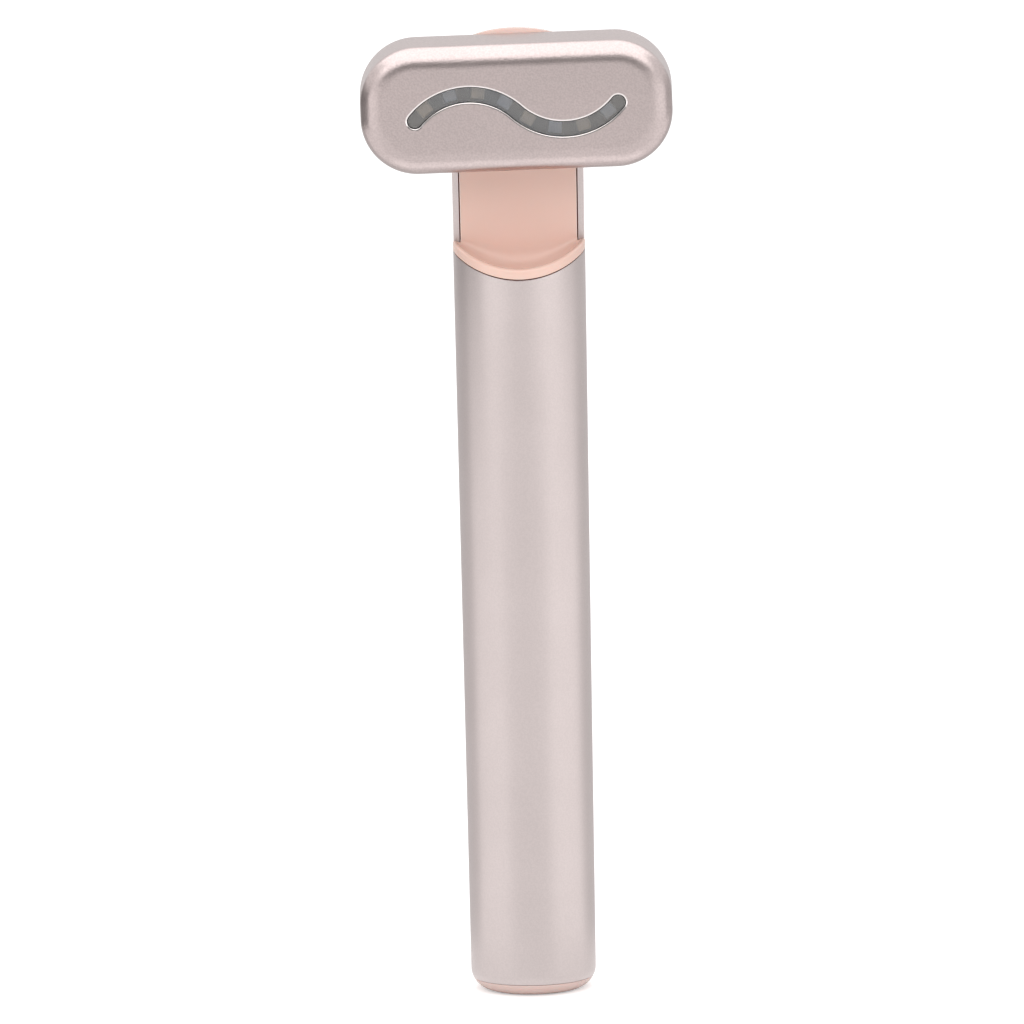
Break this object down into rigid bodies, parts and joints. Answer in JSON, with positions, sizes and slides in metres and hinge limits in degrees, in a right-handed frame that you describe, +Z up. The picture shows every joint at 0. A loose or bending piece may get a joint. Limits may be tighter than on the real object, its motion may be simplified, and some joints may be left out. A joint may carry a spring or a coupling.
{
  "type": "heated eye massager wand",
  "caption": "Slim tapered metal wand with a swivelling T-shaped massage head, a curved light window, a peach neck and base, and a push button.",
  "frame": {"origin": "centre of the base, on the surface that the handle stands on", "axes": "+Z up along the handle, -Y the way the head's face looks, +X to the right of someone who looks at that face"},
  "size_m": [0.0546, 0.0255, 0.1701],
  "materials": {
    "rose_metal": "bead-blasted satin, rose anodised",
    "peach_plastic": "satin gloss, moulded",
    "smoky_window": "smoky translucent, smooth",
    "circuit_board": "green solder mask",
    "black_plastic": "moulded package",
    "steel": "plain",
    "brass": "turned",
    "dark_rubber": "matt",
    "cell_wrap": "shrink wrap",
    "light_package": "pale package",
    "heater_film": "amber film",
    "carrier_plastic": "moulded",
    "lead_jacket": "flexible jacket"
  },
  "bodies": {
    "handle": {"handle_tube": "rose_metal", "neck_panel": "peach_plastic", "neck_top_cap": "peach_plastic", "base_cap": "peach_plastic", "base_seal_ring": "dark_rubber", "charge_port_shell": "steel", "charge_port_tongue": "black_plastic", "main_board": "circuit_board", "control_chip": "black_plastic", "charge_chip": "black_plastic", "boost_inductor": "dark_rubber", "board_capacitor": "steel", "contact_spring": "steel", "battery_cell": "cell_wrap", "battery_tab_top": "steel", "battery_tab_bottom": "steel", "battery_lead": "lead_jacket", "inner_carrier": "carrier_plastic", "switch_body": "black_plastic", "button_bezel": "rose_metal", "pivot_bush": "carrier_plastic", "head_lead": "lead_jacket"},
    "power_button": {"power_button": "peach_plastic", "switch_plunger": "carrier_plastic"},
    "head": {"head_shell": "rose_metal", "head_back_cover": "peach_plastic", "light_window": "smoky_window", "light_board": "circuit_board", "heater_film": "heater_film", "thermistor": "black_plastic", "motor_can": "steel", "motor_sleeve": "dark_rubber", "pivot_spindle": "brass", "friction_washer": "dark_rubber", "wave_washer": "steel", "retaining_clip": "steel", "light_1": "light_package", "light_2": "light_package", "light_3": "light_package", "light_4": "light_package", "light_5": "light_package", "light_6": "light_package", "light_7": "light_package", "light_8": "light_package", "board_screw_1": "steel", "board_screw_2": "steel", "board_screw_3": "steel", "board_screw_4": "steel", "spindle_screw_1": "steel", "spindle_screw_2": "steel", "spindle_screw_3": "steel"},
    "motor_weight": {"motor_weight": "brass"}
  },
  "joints": [
    {"name": "head_swivel", "type": "hinge", "parent": "handle", "child": "head", "pos_m": [0, 0, 0.1582], "axis": [0, -1, 0], "range_deg": [-91.1, 88.9]},
    {"name": "button_press", "type": "slide", "parent": "handle", "child": "power_button", "axis": [0, -1, 0], "range_m": [0, 0.0005], "stiffness_N_per_m": 800},
    {"name": "motor_weight_spin", "type": "hinge", "parent": "head", "child": "motor_weight", "pos_m": [0, -0.006, 0.1582], "axis": [0.9998, 0, 0.0192], "continuous": true}
  ]
}
